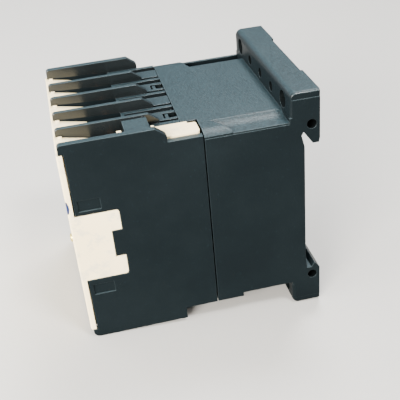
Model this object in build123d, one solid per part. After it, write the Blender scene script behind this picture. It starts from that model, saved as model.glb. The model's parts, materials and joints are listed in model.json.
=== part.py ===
from build123d import *
import os

# Miniature four-pole contactor for a 35 mm rail: millimetres, +Z up, front cover towards -Y.
# Shapes are drawn with the cover's front face at y = 0 and moved to their place by save().

# Overall size and clearances
width = 45.0
height = 58.0
depth = 58.0
half_width = width / 2
mid_z = height / 2
tip_proud = 0.6
y_shift = -(depth - tip_proud) / 2
gap = 0.3
fine_gap = 0.15
wall = 1.5
past = 2.0

# Poles: four contact columns and one coil column between six fins
pole_count = 5
fin_t = 1.0
pitch = (width - 2 * wall + fin_t) / pole_count
cell_half = (pitch - fin_t) / 2
pole_x = [(k - (pole_count - 1) / 2) * pitch for k in range(pole_count)]
contact_x = pole_x[:-1]
coil_x = pole_x[-1]
cell_x0 = [x - cell_half for x in pole_x]

# Levels along Z, mirrored about mid_z
deck_z = height - 5.9
fin_z = deck_z + 3.1
inner_fin_z = fin_z - 0.5
cover_z = deck_z + 0.7

# Stations along Y from the front face
cover_t = 1.3
nose_y = 0.5
cell_back_y = 15.9
seam_y = depth - 26.2
tongue_y = seam_y - 3.7
tongue_x = coil_x - 2.6
tongue_t = 1.2
fin_flat_y = tongue_y - 6.8
fin_drop = 2.1
fin_end_y = fin_flat_y + fin_drop + gap
flange_y = depth - 7.0
rail_face_y = depth - 3.6
base_wall = 2.0

# Magnet and travel
stroke = 3.9
overtravel = 1.2
core_half = 6.0
core_reach = 17.0
outer_leg = 5.5
centre_leg = 9.0
yoke_t = 5.5
leg_reach = 5.0
pad_t = 0.9
core_back_y = rail_face_y - base_wall - pad_t
core_yoke_y = core_back_y - yoke_t
pole_face_y = core_yoke_y - leg_reach
pole_gap = 0.05
armature_face_y = pole_face_y - stroke - pole_gap
armature_leg = core_yoke_y - pole_face_y
armature_y = armature_face_y - armature_leg - yoke_t

# Terminals
terminal_z = deck_z - 6.33
plate_y = 12.2
plate_t = 1.0
plate_low_z = deck_z - 9.8
plate_top_z = deck_z - 1.7
thread_r = 1.7
head_r = cell_half - 1.0
head_y = 5.8
head_t = 2.2
washer_t = 0.9
washer_half = cell_half - 0.5
screw_end_y = 15.2
collar_r = head_r - 0.1

# Contacts
bridge_y = 14.2
bridge_t = 1.0
tip_t = 0.8
tip_r = 1.5
tip_z = 8.0
tip_gap = stroke - overtravel
leg_face_y = bridge_y + bridge_t + tip_t + tip_gap + tip_t + pole_gap
leg_back_y = leg_face_y + plate_t
bridge_half_x = 2.2
bridge_half_z = 9.1


def block(x0, x1, y0, y1, z0, z1):
    size = Box(x1 - x0, y1 - y0, z1 - z0)
    return Pos((x0 + x1) / 2, (y0 + y1) / 2, (z0 + z1) / 2) * size


def outline(points, rounds):
    face = Polygon(*points, align=None)
    for index, radius in rounds.items():
        corner = face.vertices().sort_by_distance(Vector(*points[index]))[0]
        face = fillet(corner, radius)
    return face


def prism_x(points, x0, x1, rounds={}):
    face = Plane.YZ.offset(x0) * outline(points, rounds)
    return extrude(face, x1 - x0, dir=(1, 0, 0))


def prism_y(points, y0, y1, rounds={}):
    face = Plane.XZ.offset(-y0) * outline(points, rounds)
    return extrude(face, y1 - y0, dir=(0, 1, 0))


def prism_z(points, z0, z1, rounds={}):
    face = Plane.XY.offset(z0) * outline(points, rounds)
    return extrude(face, z1 - z0, dir=(0, 0, 1))


def rod_y(radius, x, z, y0, y1):
    rod = Cylinder(radius, y1 - y0, align=(Align.CENTER, Align.CENTER, Align.MIN))
    return Pos(x, y0, z) * Rot(-90, 0, 0) * rod


def rod_x(radius, y, z, x0, x1):
    rod = Cylinder(radius, x1 - x0, align=(Align.CENTER, Align.CENTER, Align.MIN))
    return Pos(x0, y, z) * Rot(0, 90, 0) * rod


def flip(shape):
    return mirror(shape, Plane.XY.offset(mid_z))


def swap(shape):
    return mirror(shape, Plane.YZ)


def coil_spring(mean_r, wire_r, turns, length):
    rise = length - 2 * wire_r
    path = Helix(rise / turns, rise, mean_r)
    start = Plane(path @ 0, z_dir=path % 0)
    wire = sweep(start * Circle(wire_r), path=path, is_frenet=True)
    return Pos(0, 0, wire_r) * wire


def save(shape, name):
    moved = Pos(0, y_shift, 0) * shape
    export_step(moved, "parts/" + name + ".step")


os.makedirs("parts", exist_ok=True)

# Rear base: deep tray with a deck tongue, rail flange, fixing holes and driver scoops
flange_round = 1.6
edge_round = 1.0
cavity_y = core_back_y + pad_t
cavity_half = half_width - base_wall
cavity_z = deck_z - base_wall

step_t = 0.12
flange = block(-half_width, half_width, flange_y, depth, 0, height)
flange = fillet(flange.edges().filter_by(Axis.X).sort_by(Axis.Y)[:2], flange_round)
long_edges = [e for e in flange.edges().filter_by(Axis.Y) if abs(abs(e.center().Z - mid_z) - mid_z) < 0.01]
flange = fillet(long_edges, edge_round * 0.8)
flange_top = block(half_width - step_t, half_width + past, flange_y - past, depth + past, height - 1.7, height + past)
for cut in (flange_top, swap(flange_top), flip(flange_top), flip(swap(flange_top))):
    flange -= cut
tray = block(-half_width, half_width, seam_y, flange_y + past, height - deck_z, deck_z)
tray += block(-half_width, tongue_x, tongue_y, seam_y, deck_z - tongue_t, deck_z)
crown_x = half_width - 3.3
crown_r = 5.95
crown = block(crown_x, half_width + past, 0, depth, deck_z - edge_round - past, deck_z + past)
crown -= rod_y(crown_r, crown_x, deck_z - crown_r, -past, depth + past)
crown -= block(crown_x - past, half_width + past, -past, depth + past, 0, deck_z - edge_round)
crown = crown & block(0, half_width + past, tongue_y - past, flange_y, 0, height)
side_step = block(half_width - step_t, half_width + past, tongue_y - past, flange_y, deck_z - 1.4, deck_z + past)
for cut in (crown + side_step, swap(crown + side_step)):
    tray -= cut
rear_base = tray + flange
rear_base -= block(-cavity_half, cavity_half, seam_y - gap, cavity_y, height - cavity_z, cavity_z)

# Rail recess: hook above, shallow lip below, both with an undercut for the rail's edges
hook_z = mid_z + 16.2
lip_z = mid_z - 18.4
channel_z = mid_z - 13.7
hook_tip_y = depth - 1.7
recess = [
    (depth + past, hook_z + past),
    (depth, hook_z + 1.2),
    (depth - 0.25, hook_z),
    (hook_tip_y, hook_z),
    (rail_face_y - 0.25, hook_z + 3.1),
    (rail_face_y - 0.7, hook_z + 2.2),
    (rail_face_y, hook_z - 0.6),
    (rail_face_y, channel_z),
    (rail_face_y + 0.3, lip_z),
    (hook_tip_y - 0.4, lip_z - 0.1),
    (hook_tip_y + 0.4, lip_z + 1.2),
    (depth, lip_z - 0.5),
    (depth + past, lip_z - 1.6),
]
rear_base -= prism_x(recess, -half_width - past, half_width + past)

# Fixing holes on the 35 x 50 pattern, with small blind core holes between the top and bottom pairs
fix_x = half_width - 5.0
fix_z = mid_z - 4.0
fix_r = 2.0
core_hole_r = 1.2
for sx in (-1, 1):
    for sz in (-1, 1):
        rear_base -= rod_y(fix_r, sx * fix_x, mid_z + sz * fix_z, cavity_y, depth + past)
        rear_base -= rod_y(fix_r, sx * fix_x, mid_z + sz * (fix_z + 0.8), flange_y - past, cavity_y + gap)
for x in (-fix_x / 2, 0, fix_x / 2):
    for sz in (-1, 1):
        rear_base -= rod_y(core_hole_r, x, mid_z + sz * (fix_z + gap), flange_y - past, flange_y + 5)

# Driver scoops in the deck in front of the fixing holes
scoop_x = half_width - 6.2
scoop_d = 1.0
scoop_y = seam_y + 2.5
scoop_run = 3.2
scoop_r = (scoop_run**2 + scoop_d**2) / (2 * scoop_d)
scoop = Pos(scoop_x + scoop_run, 0, deck_z - scoop_d + scoop_r)
scoop = scoop * Rot(-90, 0, 0) * Cylinder(scoop_r, flange_y, align=(Align.CENTER, Align.CENTER, Align.MIN))
scoop += block(scoop_x + scoop_run, half_width + past, 0, flange_y, deck_z - scoop_d, deck_z + past)
scoop_plan = [
    (scoop_x - 0.2, scoop_y),
    (scoop_x, scoop_y),
    (half_width - edge_round, scoop_y + 3.7),
    (half_width + past, scoop_y + 4.5),
    (half_width + past, flange_y),
    (scoop_x - 0.2, flange_y),
]
scoop = scoop & prism_z(scoop_plan, deck_z - scoop_d - past, deck_z + past)
rim_x = half_width - 0.9
rim_z = deck_z - edge_round
trough_z = deck_z - 2.5
trough_x = scoop_x - 0.2
trough_profile = [
    (-trough_x, deck_z + past),
    (-trough_x, deck_z),
    (-trough_x - 1.8, deck_z - 1.9),
    (-trough_x - 3.6, trough_z),
    (-rim_x, trough_z),
    (-rim_x, rim_z - 0.1),
    (-half_width - past, rim_z - 0.1),
    (-half_width - past, deck_z + past),
]
trough_plan = [
    (-trough_x + 0.1, scoop_y + 2.5),
    (-trough_x + 0.1, flange_y),
    (-half_width - past, flange_y),
    (-half_width - past, scoop_y - 0.3),
]
trough = prism_y(trough_profile, scoop_y - past, flange_y + past, {2: 1.0, 3: 1.5})
trough = trough & prism_z(trough_plan, trough_z - past, deck_z + past)
rear_base += block(-half_width + wall, -trough_x + 1.2, scoop_y + 0.5, cavity_y, trough_z - wall, deck_z - wall)
for cut in (scoop, trough, flip(scoop), flip(swap(scoop))):
    rear_base -= cut

# Blind side holes beside the hook and the lip, and the set-back middle of the rear top edge
side_hole_r = 1.15
side_hole_y = depth - 1.9
for z in (height - 8.0, 8.4):
    for x0, x1 in ((-half_width - past, -half_width + 5), (half_width - 5, half_width + past)):
        rear_base -= rod_x(side_hole_r, side_hole_y, z, x0, x1)
rear_base -= block(-11, 11, depth - 0.5, depth + past, height - 7.5, height + past)

# Ribs that pocket the fixed core against the rear wall
rib_y = core_yoke_y + 0.5
for s in (-1, 1):
    inner, outer = sorted((s * (core_half + gap), s * (core_half + gap + wall)))
    rear_base += block(inner, outer, rib_y, cavity_y, mid_z - core_reach - gap - wall, mid_z + core_reach + gap + wall)
    low, high = sorted((mid_z + s * (core_reach + gap), mid_z + s * (core_reach + gap + wall)))
    rear_base += block(-core_half - gap, core_half + gap, rib_y, cavity_y, low, high)

# Snap hooks reaching forward from the deck tongue into the front housing's windows
window_w = 2.5
window_y = tongue_y - 3.1
window_x = [cell_x0[1] + 4.2, cell_x0[3] + 4.2]
for x in window_x:
    arm = [
        (tongue_y + wall, deck_z - tongue_t - 1.4),
        (tongue_y + wall, deck_z - tongue_t + 0.2),
        (tongue_y + 0.1, deck_z - tongue_t + 0.2),
        (window_y + 1.7, deck_z - tongue_t - 0.3),
        (window_y + 1.2, deck_z - 0.15),
        (window_y + 0.5, deck_z - 0.15),
        (window_y + fine_gap, deck_z - 0.8),
        (window_y + fine_gap, deck_z - tongue_t - 1.4),
    ]
    rear_base += prism_x(arm, x + fine_gap, x + window_w - fine_gap)

# Channel, wing grooves and spring post for the rail latch
latch_half = 7.0
latch_wing = 1.5
latch_face_y = rail_face_y - 0.1
latch_back_y = depth - 0.4
latch_travel = 2.5
post_half = 2.1
post_z = 3.2
post_t = 1.0
channel_y = latch_face_y - gap
rear_base -= block(-latch_half - gap, latch_half + gap, channel_y, depth + past, -past, channel_z)
groove_y = latch_face_y + 0.7
groove_t = 1.2
groove_x = latch_half + latch_wing + gap
wing_z = lip_z - 3.1
rear_base -= block(-groove_x, groove_x, groove_y - gap, groove_y + groove_t + gap, -past, wing_z + gap)
rear_base += block(-post_half, post_half, channel_y - gap, latch_face_y + 1.9, post_z, post_z + post_t)
save(rear_base, "rear_base")

# Front housing: fins, ten terminal cells, contact chamber and magnet well
housing_back_y = seam_y - gap
body_y = cover_t + gap
front = block(-half_width, half_width, body_y, housing_back_y, height - deck_z, deck_z)


def top_fin(top_z):
    return [
        (nose_y, cover_z + fine_gap),
        (nose_y, top_z),
        (fin_flat_y, top_z),
        (fin_flat_y + fin_drop, top_z - 0.75 * fin_drop),
        (fin_end_y, top_z - 0.75 * fin_drop - 0.4),
        (fin_end_y, deck_z - past),
        (body_y, deck_z - past),
        (body_y, cover_z + fine_gap),
    ]


def low_fin(low_z):
    return [
        (nose_y, height - cover_z - fine_gap),
        (nose_y, low_z),
        (fin_end_y, low_z),
        (fin_end_y, height - deck_z + past),
        (body_y, height - deck_z + past),
        (body_y, height - cover_z - fine_gap),
    ]


for x0, x1 in ((-half_width, -half_width + wall), (half_width - wall, half_width)):
    front += prism_x(top_fin(fin_z), x0, x1, {1: 0.8})
    front += prism_x(low_fin(height - fin_z), x0, x1, {1: 1.6})
for x in cell_x0[1:]:
    front += prism_x(top_fin(inner_fin_z), x - fin_t, x, {1: 0.8})
    front += prism_x(low_fin(height - inner_fin_z), x - fin_t, x, {1: 1.6})

cell_low_z = plate_low_z - 6.3
for x in pole_x:
    cell = block(x - cell_half, x + cell_half, -past, cell_back_y, cell_low_z, height + past)
    front -= cell
    front -= flip(cell)

# Contact chamber and the carrier's way through
bar_half_z = 5.0
bar_x0 = -half_width + wall + 0.4
bar_x1 = contact_x[-1] + cell_half + 0.1
bar_y0 = 8.0
bar_y1 = 17.0
arm_x1 = coil_x + 1.2
arm_y1 = bar_y0 + 2.5
arm_half_z = 2.5
neck_half_x = 6.0
neck_half_z = 4.0
plate_half_x = 13.3
plate_half_z = 4.5
tail_t = 2.85
tail_y1 = armature_y - gap
tail_y0 = tail_y1 - tail_t
support_y = leg_back_y + gap
well_y = tail_y0 - 0.6
chamber_half_z = bridge_half_z + 0.5
pocket_z = plate_low_z + 0.7
front -= block(bar_x0 - 0.4, bar_x1 + 0.4, bar_y0 - 0.8, bar_y1 + stroke + 0.4, mid_z - bar_half_z - 0.4, mid_z + bar_half_z + 0.4)
front -= block(bar_x1, arm_x1 + 0.8, bar_y0 - 0.8, arm_y1 + stroke + 0.8, mid_z - arm_half_z - 0.5, mid_z + arm_half_z + 0.5)
for x in contact_x:
    front -= block(x - cell_half, x + cell_half, 9.0, support_y, mid_z - chamber_half_z, mid_z + chamber_half_z)
    pocket = block(x - cell_half, x + cell_half, cell_back_y - 1, support_y, mid_z + bar_half_z, pocket_z)
    front -= pocket
    front -= flip(pocket)
front -= block(-neck_half_x - 0.4, neck_half_x + 0.4, support_y - past, well_y + past, mid_z - neck_half_z - 0.4, mid_z + neck_half_z + 0.4)
front -= block(-plate_half_x - 0.5, plate_half_x + 0.5, well_y, seam_y, mid_z - plate_half_z - 0.5, mid_z + plate_half_z + 0.5)
front -= block(-core_half - 0.6, core_half + 0.6, well_y, seam_y, mid_z - core_reach - 0.6, mid_z + core_reach + 0.6)

# Slots for the coil blades
blade_half = 1.6
blade_t = 0.8
blade_z = plate_low_z - blade_t
blade_slot = block(coil_x - blade_half - gap, coil_x + blade_half + gap, plate_y, seam_y, blade_z - gap, plate_low_z + gap)
front -= blade_slot
front -= flip(blade_slot)

# Spigot ring and four pillars that locate in the base and hold the bobbin down
spigot_half = cavity_half - gap
spigot_z = cavity_z - gap
spigot = block(-spigot_half, spigot_half, housing_back_y, seam_y + wall, height - spigot_z, spigot_z)
spigot -= block(-spigot_half + wall, spigot_half - wall, housing_back_y, seam_y + past, height - spigot_z + wall, spigot_z - wall)
spigot -= block(coil_x - blade_half - gap, spigot_half + past, housing_back_y, seam_y + past, blade_z - gap, plate_low_z + gap)
spigot -= flip(block(coil_x - blade_half - gap, spigot_half + past, housing_back_y, seam_y + past, blade_z - gap, plate_low_z + gap))
front += spigot
bobbin_y = pole_face_y - 4.4
for s in (-1, 1):
    x0, x1 = sorted((s * 9.5, s * 12.5))
    pillar = block(x0, x1, housing_back_y, bobbin_y - gap, mid_z + 6.5, mid_z + 10.5)
    front += pillar
    front += flip(pillar)

# Deck over the contact chamber: step under the tongue, thin slots behind the fins, wide grooves, hook windows
front -= block(-half_width - past, tongue_x + fine_gap, tongue_y - fine_gap, seam_y, deck_z - tongue_t - fine_gap, deck_z + past)
groove_end_y = tongue_y - fine_gap
for x in cell_x0[1:]:
    front -= block(x - fin_t, x, fin_end_y, groove_end_y, deck_z - 3, deck_z + past)
for x in cell_x0[:-1]:
    front -= block(x + 1.1, x + 3.1, cell_back_y + 0.7, groove_end_y, deck_z - 0.9, deck_z + past)
for x in window_x:
    front -= block(x, x + window_w, window_y, seam_y, deck_z - 3.6, deck_z + past)
for x0, z in ((-half_width - past, deck_z - 0.9), (half_width - wall, deck_z - 0.4)):
    front -= block(x0, x0 + wall + past, fin_end_y, seam_y, z, deck_z + past)

# Coil terminal boss in the near cell and the recess for the cream marker
boss_y0 = 15.2
boss_y1 = 20.7
boss_x1 = coil_x + cell_half - 1.2
boss_z = fin_z - 0.9
boss = [
    (coil_x - cell_half - gap, deck_z - past),
    (coil_x - cell_half - gap, boss_z),
    (boss_x1, boss_z),
    (boss_x1, deck_z - past),
]
front += prism_y(boss, boss_y0, boss_y1, {1: 0.9})
marker_x0 = tongue_x + 0.5
marker_x1 = half_width - wall - fine_gap
marker_y0 = boss_y1 + fine_gap
marker_y1 = housing_back_y - 0.2
marker_t = 1.2
front -= block(marker_x0 - fine_gap, marker_x1 + fine_gap, marker_y0 - 0.05, seam_y, deck_z - marker_t, deck_z + past)

# Side recesses for the cover's ears and shallow marking pads, on both sides
ear_t = 0.9
ear_y = 11.2
ear_notch_y = 8.85
ear_low_z = mid_z - 9.1
ear_top_z = mid_z + 8.4
notch_low_z = mid_z - 3.95
notch_top_z = mid_z + 3.2


def ear_outline(grow):
    return [
        (-past, ear_low_z - grow),
        (ear_y + grow, ear_low_z - grow),
        (ear_y + grow, notch_low_z + grow),
        (ear_notch_y + grow, notch_low_z + grow),
        (ear_notch_y + grow, notch_top_z - grow),
        (ear_y + grow, notch_top_z - grow),
        (ear_y + grow, ear_top_z + grow),
        (-past, ear_top_z + grow),
    ]


ear_rounds = {1: 0.7, 6: 0.7}
pad_depth = 0.25
pad_height = 2.8
for side in (1, -1):
    recess_block = prism_x(ear_outline(fine_gap), half_width - ear_t - 0.1, half_width + past, ear_rounds)
    pads = block(half_width - pad_depth, half_width + past, 2.5, 7.5, ear_top_z + 1.1, ear_top_z + 1.1 + pad_height)
    pads += block(half_width - pad_depth, half_width + past, 2.5, 7.4, ear_low_z - 1.6 - pad_height, ear_low_z - 1.6)
    cuts = recess_block + pads
    front -= cuts if side == 1 else swap(cuts)

# Bore for the indicator pin in the front wall
pin_r = 1.05
front -= rod_y(pin_r + 0.4, coil_x, mid_z, 0, bar_y0)
save(front, "front_housing")

# Front cover: plate with screw funnels, sloped cell roofs, side ears and accessory slots
plate = block(-half_width, half_width, 0, cover_t, height - cover_z, cover_z)
plate = fillet(plate.edges().filter_by_position(Axis.Y, -0.01, 0.01), 0.4)
roof_t = 0.9
roof_y = 8.0
roof_drop = 0.2 * (roof_y - cover_t)
roof = [
    (cover_t - gap, cover_z),
    (cover_t, cover_z),
    (roof_y, cover_z - roof_drop),
    (roof_y, cover_z - roof_drop - roof_t),
    (cover_t, cover_z - roof_t),
    (cover_t - gap, cover_z - roof_t),
]
funnel_half = cell_half - 0.7
funnel_round = 1.6
funnel_wall = 0.45
funnel_y = 4.8


def driver_way(x, grow, y0, y1):
    half = funnel_half + grow
    way = block(x - half, x + half, y0, y1, terminal_z - half, terminal_z + half)
    return fillet(way.edges().filter_by(Axis.Y), funnel_round + grow)


roof_half = cell_half - fine_gap
for x in pole_x:
    cell_roof = prism_x(roof, x - roof_half, x + roof_half)
    cell_roof += block(x - roof_half, x - roof_half + 0.5, cover_t - gap, cover_t + 0.6, cover_z - gap, cover_z + 0.25)
    cell_roof += driver_way(x, funnel_wall, cover_t - gap, funnel_y)
    plate += cell_roof
    plate += flip(cell_roof)
for x in pole_x:
    funnel_bore = driver_way(x, 0, -past, funnel_y + past)
    plate -= funnel_bore
    plate -= flip(funnel_bore)
ear = prism_x(ear_outline(0), half_width - ear_t, half_width, ear_rounds)
ear = ear & block(0, half_width + past, cover_t - gap, depth, 0, height)
plate += ear
plate += swap(ear)
for x in (-pitch, pitch):
    for z in (mid_z - pitch, mid_z + pitch):
        plate -= block(x - 2.6, x + 2.6, -past, cover_t + past, z - 1.2, z + 1.2)
plate -= rod_y(pin_r + gap, coil_x, mid_z, -past, cover_t + past)
lens_z = mid_z + 9.3
lens = [
    (0.0, lens_z),
    (0.35, lens_z + 0.2),
    (0.62, lens_z + 1.3),
    (0.62, lens_z + 2.1),
    (0.35, lens_z + 3.1),
    (0.0, lens_z + 3.3),
    (-past, lens_z + 3.3),
    (-past, lens_z),
]
lens_x0 = half_width - 3.0
plate -= prism_x(lens, lens_x0, half_width + past)
save(plate, "front_cover")

# Blue insert let into the cover's near front edge
insert = prism_x(lens, lens_x0 + 0.05, half_width - 0.05)
insert = insert & block(0, half_width, 0.02, cover_t, 0, height)
save(insert, "blue_insert")

# Cream marker over the coil terminal, clipped round the boss
marker_plan = [
    (marker_x0, marker_y0),
    (marker_x1, marker_y0),
    (marker_x1, marker_y1),
    (marker_x0 + 0.9, marker_y1),
    (marker_x0 + 0.9, marker_y1 - 1.9),
    (marker_x0, marker_y1 - 1.9),
]
marker = prism_z(marker_plan, deck_z - marker_t, deck_z + 0.1, {2: 0.8, 3: 0.5})
clip_x0 = boss_x1 + fine_gap
clip_y0 = boss_y0 - 1.8
marker += block(clip_x0, marker_x1, clip_y0, marker_y0 + 0.8, deck_z + 0.05, deck_z + 1.4)
marker += block(clip_x0, marker_x1, clip_y0, clip_y0 + 1.0, deck_z - 0.2, fin_z - 0.1)
marker += block(clip_x0, marker_x1, marker_y0, marker_y0 + 0.6, deck_z, fin_z - 0.2)
marker -= block(clip_x0 - past, half_width, clip_y0 - past, cell_back_y, deck_z - past, deck_z)
save(marker, "coil_marker")

# Fixed core: laminated E with shading grooves in the outer pole faces
def e_core(face_y, yoke_y, back_y):
    low, high = sorted((yoke_y, back_y))
    core = block(-core_half, core_half, low, high, mid_z - core_reach, mid_z + core_reach)
    near, far = sorted((face_y, yoke_y))
    for z0, z1 in (
        (mid_z - core_reach, mid_z - core_reach + outer_leg),
        (mid_z - centre_leg / 2, mid_z + centre_leg / 2),
        (mid_z + core_reach - outer_leg, mid_z + core_reach),
    ):
        core += block(-core_half, core_half, near, far, z0, z1)
    return core


ring_t = 0.8
ring_w = 1.0
ring_y = pole_face_y + 0.1
ring_in_z = mid_z + core_reach - 3.8
fixed_core = e_core(pole_face_y, core_yoke_y, core_back_y)
shade_slot = block(-core_half - past, core_half + past, pole_face_y - past, ring_y + 1.2, ring_in_z - ring_t - 0.05, ring_in_z)
fixed_core -= shade_slot
fixed_core -= flip(shade_slot)
save(fixed_core, "fixed_core")
ring_out = 0.05
ring = block(-core_half - ring_out - ring_t, core_half + ring_out + ring_t, ring_y, ring_y + ring_w, ring_in_z - ring_t, mid_z + core_reach + ring_out + ring_t)
ring -= block(-core_half - ring_out, core_half + ring_out, ring_y - past, ring_y + past, ring_in_z, mid_z + core_reach + ring_out)
save(Compound([ring, flip(ring)]), "shading_rings")

pad_low = 9.0
pad_high = 15.0
pad = block(-core_half + 0.5, core_half - 0.5, core_back_y, cavity_y, mid_z + pad_low, mid_z + pad_high)
save(Compound([pad, flip(pad)]), "core_pads")

# Coil: bobbin round the centre leg, with terminal ears for the blades
tube_in_x = core_half + gap
tube_in_z = centre_leg / 2 + gap
tube_x = tube_in_x + 1.0
tube_z = tube_in_z + 1.0
flange_half_x = 13.6
flange_half_z = core_reach - outer_leg - 0.4
flange_t = 1.0
bobbin_end_y = core_yoke_y - 0.25
bobbin = block(-tube_x, tube_x, bobbin_y, bobbin_end_y, mid_z - tube_z, mid_z + tube_z)
for y0, y1 in ((bobbin_y, bobbin_y + flange_t), (bobbin_end_y - flange_t, bobbin_end_y)):
    cheek = block(-flange_half_x, flange_half_x, y0, y1, mid_z - flange_half_z, mid_z + flange_half_z)
    bobbin += fillet(cheek.edges().filter_by(Axis.Y), 1.5)
ear_x1 = cavity_half - gap
terminal_ear = block(flange_half_x - 3, ear_x1, bobbin_y, bobbin_y + flange_t, mid_z + flange_half_z - 1.6, plate_low_z + 1.2)
terminal_ear -= block(coil_x - blade_half - 0.05, coil_x + blade_half + 0.05, bobbin_y - past, bobbin_y + past, blade_z - 0.05, plate_low_z + 0.05)
bobbin += terminal_ear
bobbin += flip(terminal_ear)
bobbin -= block(-tube_in_x, tube_in_x, bobbin_y - past, bobbin_end_y + past, mid_z - tube_in_z, mid_z + tube_in_z)
spring_x = 11.2
seat_r = 1.4
for sx in (-1, 1):
    bobbin += rod_y(seat_r, sx * spring_x, mid_z, bobbin_y - 0.8, bobbin_y)
save(bobbin, "coil_bobbin")
wind_x = flange_half_x - 1.2
wind_z = flange_half_z - 0.5
winding = block(-wind_x, wind_x, bobbin_y + flange_t + 0.05, bobbin_end_y - flange_t - 0.05, mid_z - wind_z, mid_z + wind_z)
winding = fillet(winding.edges().filter_by(Axis.Y), 2.5)
winding -= block(-tube_x - 0.05, tube_x + 0.05, 0, depth, mid_z - tube_z - 0.05, mid_z + tube_z + 0.05)
save(winding, "coil_winding")

# Terminal plates: angled contact strips for the poles and straight blades for the coil
plate_half = cell_half - 0.1
thread_hole_r = thread_r + 0.05


def terminal_head(x):
    head = block(x - plate_half, x + plate_half, plate_y, plate_y + plate_t, plate_low_z, plate_top_z)
    head = fillet(head.edges().filter_by(Axis.Y).sort_by(Axis.Z)[-2:], 1.0)
    head += rod_y(collar_r, x, terminal_z, plate_y + plate_t, cell_back_y - gap)
    return head - rod_y(thread_hole_r, x, terminal_z, plate_y - past, cell_back_y + past)


strip_half = bridge_half_x + 0.3
leg_low_z = mid_z + tip_z - tip_r - 0.8
contact_tips = []
for k, x in enumerate(contact_x):
    strip = [
        (plate_y, plate_low_z + 0.2),
        (plate_y, plate_low_z - plate_t),
        (leg_face_y, plate_low_z - plate_t),
        (leg_face_y, leg_low_z),
        (leg_back_y, leg_low_z),
        (leg_back_y, plate_low_z),
        (plate_y + plate_t, plate_low_z),
        (plate_y + plate_t, plate_low_z + 0.2),
    ]
    contact = prism_x(strip, x - strip_half, x + strip_half, {1: 0.8, 5: 0.8}) + terminal_head(x)
    save(contact, "line_contact_" + str(k + 1))
    save(flip(contact), "load_contact_" + str(k + 1))
    tip = rod_y(tip_r, x, mid_z + tip_z, leg_face_y - tip_t, leg_face_y)
    contact_tips += [tip, flip(tip)]
save(Compound(contact_tips), "fixed_tips")

blade_end_y = bobbin_y + 1.3
blade = block(coil_x - blade_half, coil_x + blade_half, plate_y, blade_end_y, blade_z, plate_low_z)
blade += terminal_head(coil_x)
save(blade, "coil_blade_top")
save(flip(blade), "coil_blade_bottom")

# Terminal screws with a cross and slot in the head, and their square clamp washers
washer_y = head_y + head_t
screws = []
washers = []
for x in pole_x:
    screw = rod_y(head_r, x, terminal_z, head_y, washer_y)
    screw = fillet(screw.edges().sort_by(Axis.Y)[0], 0.4)
    screw += rod_y(thread_r, x, terminal_z, washer_y, screw_end_y)
    screw -= block(x - head_r, x + head_r, head_y - past, head_y + 0.9, terminal_z - 0.4, terminal_z + 0.4)
    screw -= block(x - 0.45, x + 0.45, head_y - past, head_y + 1.3, terminal_z - 1.5, terminal_z + 1.5)
    washer = block(x - washer_half, x + washer_half, washer_y, washer_y + washer_t, terminal_z - washer_half, terminal_z + washer_half)
    washer = fillet(washer.edges().filter_by(Axis.Y), 0.8)
    washer -= rod_y(thread_r + 0.1, x, terminal_z, washer_y - past, washer_y + past)
    screws += [screw, flip(screw)]
    washers += [washer, flip(washer)]
save(Compound(screws), "terminal_screws")
save(Compound(washers), "clamp_washers")

# Contact carrier: windowed crossbar, indicator arm, neck, tail plate and armature ears
window_half = bridge_half_x + 0.4
window_y0 = bar_y0 + 1.6
window_y1 = bridge_y + bridge_t + gap
ear_in = core_half + gap
ear_out = ear_in + 1.8
cross_pin_r = 1.2
cross_pin_y = armature_y + 2.3
spring_r = 1.7
carrier = block(bar_x0, bar_x1, bar_y0, bar_y1, mid_z - bar_half_z, mid_z + bar_half_z)
carrier += block(bar_x1, arm_x1, bar_y0, arm_y1, mid_z - arm_half_z, mid_z + arm_half_z)
carrier += block(-neck_half_x, neck_half_x, bar_y1, tail_y0, mid_z - neck_half_z, mid_z + neck_half_z)
carrier += block(-plate_half_x, plate_half_x, tail_y0, tail_y1, mid_z - plate_half_z, mid_z + plate_half_z)
for s in (-1, 1):
    x0, x1 = sorted((s * ear_in, s * ear_out))
    carrier += block(x0, x1, tail_y1, armature_y + yoke_t - 0.6, mid_z - 3.5, mid_z + 3.5)
    carrier += rod_y(seat_r, s * spring_x, mid_z, tail_y1, tail_y1 + 0.8)
for x in contact_x:
    carrier -= block(x - window_half, x + window_half, window_y0, window_y1, mid_z - height, mid_z + height)
    carrier += rod_y(spring_r - 0.5, x, mid_z, window_y0 - 0.2, window_y0 + 0.8)
carrier -= rod_x(cross_pin_r + 0.02, cross_pin_y, mid_z, -ear_out - past, ear_out + past)
carrier -= rod_y(pin_r + 0.02, coil_x, mid_z, bar_y0 - past, arm_y1 - 0.5)
save(carrier, "contact_carrier")
save(rod_x(cross_pin_r, cross_pin_y, mid_z, -ear_out - gap, ear_out + gap), "armature_pin")
indicator = rod_y(pin_r, coil_x, mid_z, -tip_proud, arm_y1 - 0.6)
indicator = fillet(indicator.edges().sort_by(Axis.Y)[0], 0.5)
save(indicator, "indicator_pin")

armature = e_core(armature_face_y, armature_y + yoke_t, armature_y)
armature -= rod_x(cross_pin_r + 0.02, cross_pin_y, mid_z, -core_half - past, core_half + past)
save(armature, "armature_core")

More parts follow.
